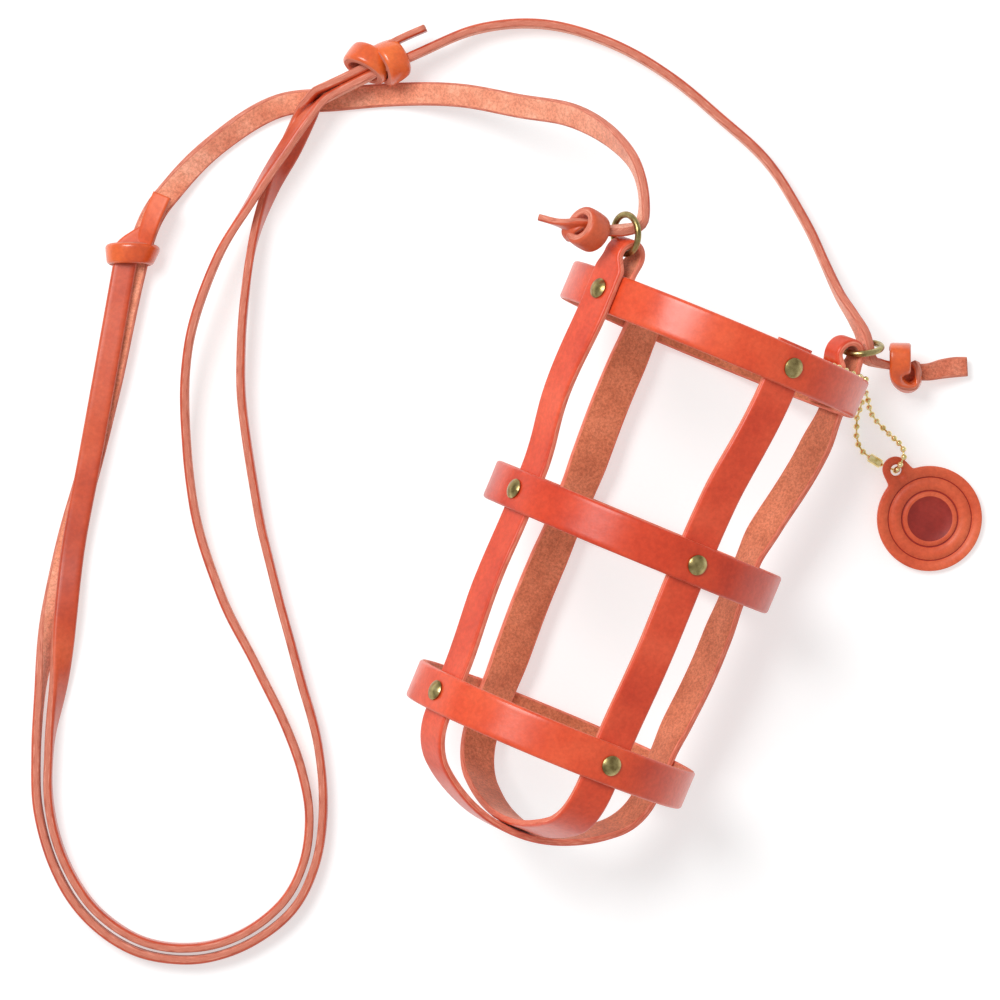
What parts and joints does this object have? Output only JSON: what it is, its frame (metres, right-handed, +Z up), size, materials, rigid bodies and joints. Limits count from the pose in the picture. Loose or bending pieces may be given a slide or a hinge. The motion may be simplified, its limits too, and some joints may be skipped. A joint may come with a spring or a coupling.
{
  "type": "bottle carrier",
  "caption": "Leather bottle carrier lying on its side: ring bands riveted to crossing straps, an adjustable knotted shoulder lace on metal rings, and a round tag on a ball chain.",
  "frame": {"origin": "on the floor under the middle of the middle band, the carrier lying on its side", "axes": "+Z up from the floor, +Y along the cage from its round bottom to its mouth, +X towards the side that the tag hangs on"},
  "size_m": [0.2356, 0.2637, 0.0798],
  "materials": {
    "band_leather": "smooth orange-red grain outside, brown suede inside",
    "strap_leather": "smooth orange-red grain outside, brown suede inside",
    "lace_leather": "flat lace, grain on one face and suede on the other",
    "tag_leather": "smooth grain with pressed circles",
    "antique_brass": "antique, satin",
    "chain_brass": "bright, polished"
  },
  "bodies": {
    "cage": {"top_band": "band_leather", "middle_band": "band_leather", "bottom_band": "band_leather", "looped_strap": "strap_leather", "plain_strap": "strap_leather", "top_rivet_caps": "antique_brass", "middle_rivet_caps": "antique_brass", "bottom_rivet_caps": "antique_brass", "top_rivet_posts": "antique_brass", "middle_rivet_posts": "antique_brass", "bottom_rivet_posts": "antique_brass", "left_lace": "lace_leather", "right_lace": "lace_leather", "left_stopper_knot": "lace_leather", "right_stopper_knot": "lace_leather", "chain_wrap": "chain_brass"},
    "left_ring_body": {"left_ring": "antique_brass"},
    "right_ring_body": {"right_ring": "antique_brass"},
    "upper_knot_body": {"upper_sliding_knot": "lace_leather"},
    "lower_knot_body": {"lower_sliding_knot": "lace_leather"},
    "chain_body": {"ball_chain": "chain_brass", "chain_connector": "chain_brass"},
    "tag_body": {"tag": "tag_leather"}
  },
  "joints": [
    {"name": "left_ring_swing", "type": "hinge", "parent": "cage", "child": "left_ring_body", "pos_m": [-0.0294, 0.06348, 0.06528], "axis": [-0.6494, 0.0185, -0.7602], "range_deg": [-10, 3]},
    {"name": "right_ring_swing", "type": "hinge", "parent": "cage", "child": "right_ring_body", "pos_m": [0.03311, 0.06458, 0.02021], "axis": [0.5767, -0.0199, 0.8167], "range_deg": [-10, 3]},
    {"name": "upper_knot_slide", "type": "slide", "parent": "cage", "child": "upper_knot_body", "axis": [-0.6639, -0.7478, 0], "range_m": [0, 0.008]},
    {"name": "lower_knot_slide", "type": "slide", "parent": "cage", "child": "lower_knot_body", "axis": [-0.213, 0.977, 0], "range_m": [-0.03, 0]},
    {"name": "chain_swing", "type": "hinge", "parent": "cage", "child": "chain_body", "pos_m": [0.03279, 0.05988, 0.0115], "axis": [0, 0, 1], "range_deg": [-40, 25]},
    {"name": "tag_swing", "type": "hinge", "parent": "chain_body", "child": "tag_body", "pos_m": [0.05669, 0.04218, 0.00517], "axis": [0.0886, -0.0562, 0.9945], "range_deg": [-30, 30]}
  ]
}
